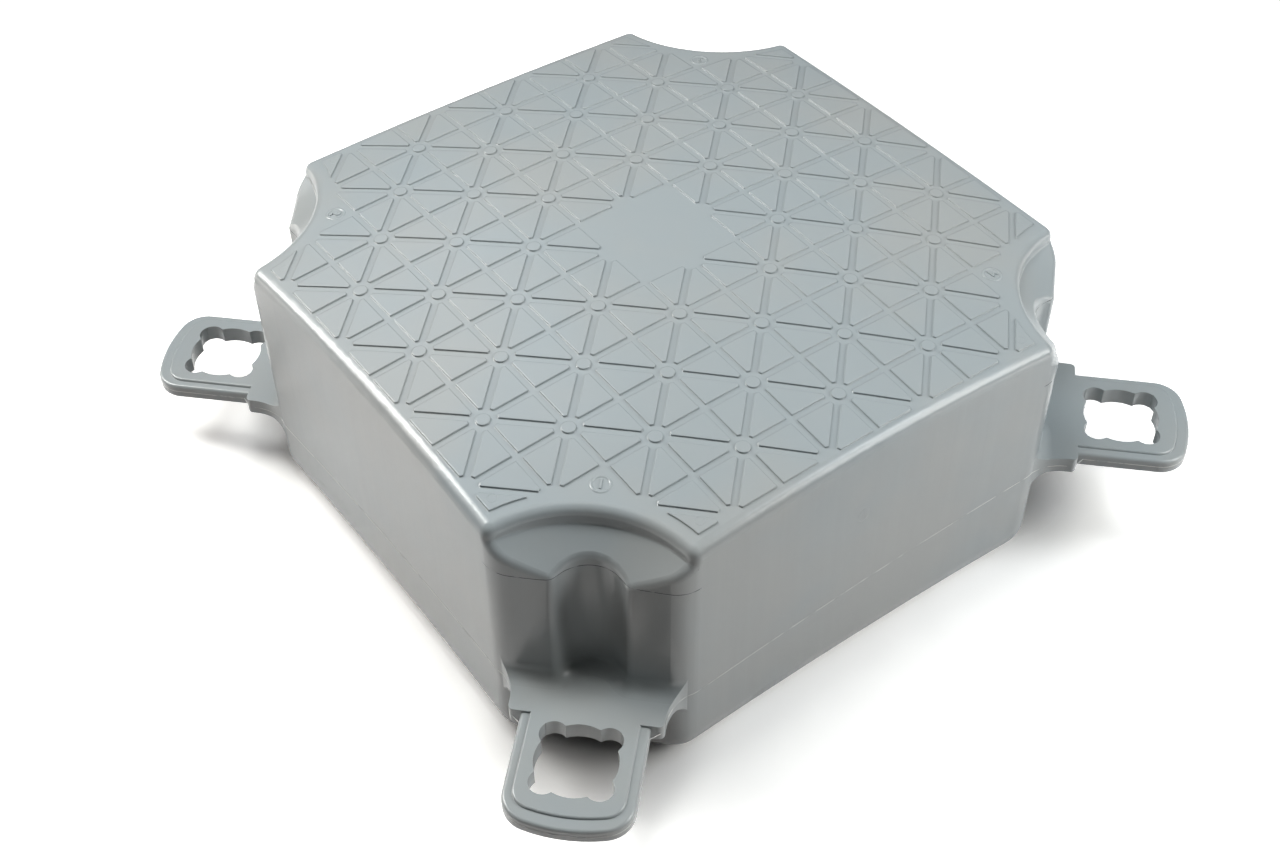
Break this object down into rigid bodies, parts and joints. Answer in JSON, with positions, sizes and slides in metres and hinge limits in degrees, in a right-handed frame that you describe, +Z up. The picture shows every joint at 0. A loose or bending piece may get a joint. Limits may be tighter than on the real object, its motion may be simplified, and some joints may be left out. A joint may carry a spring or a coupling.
{
  "type": "floating dock cube",
  "caption": "Low square blow-moulded float with a crowned, treaded deck and four staggered corner lugs with lobed holes; pins couple it to its neighbours to form a floating walkway.",
  "frame": {"origin": "middle of the flat base, under the middle of the deck", "axes": "+Z up from the base to the deck, X and Y along the float's sides; highest lug at the +X +Y corner"},
  "size_m": [0.611, 0.611, 0.2326],
  "materials": {
    "hdpe_grey": "satin, faintly grained, light blue-grey blow-moulded polyethylene"
  },
  "bodies": {
    "root": {"float_body": "hdpe_grey"}
  },
  "joints": []
}
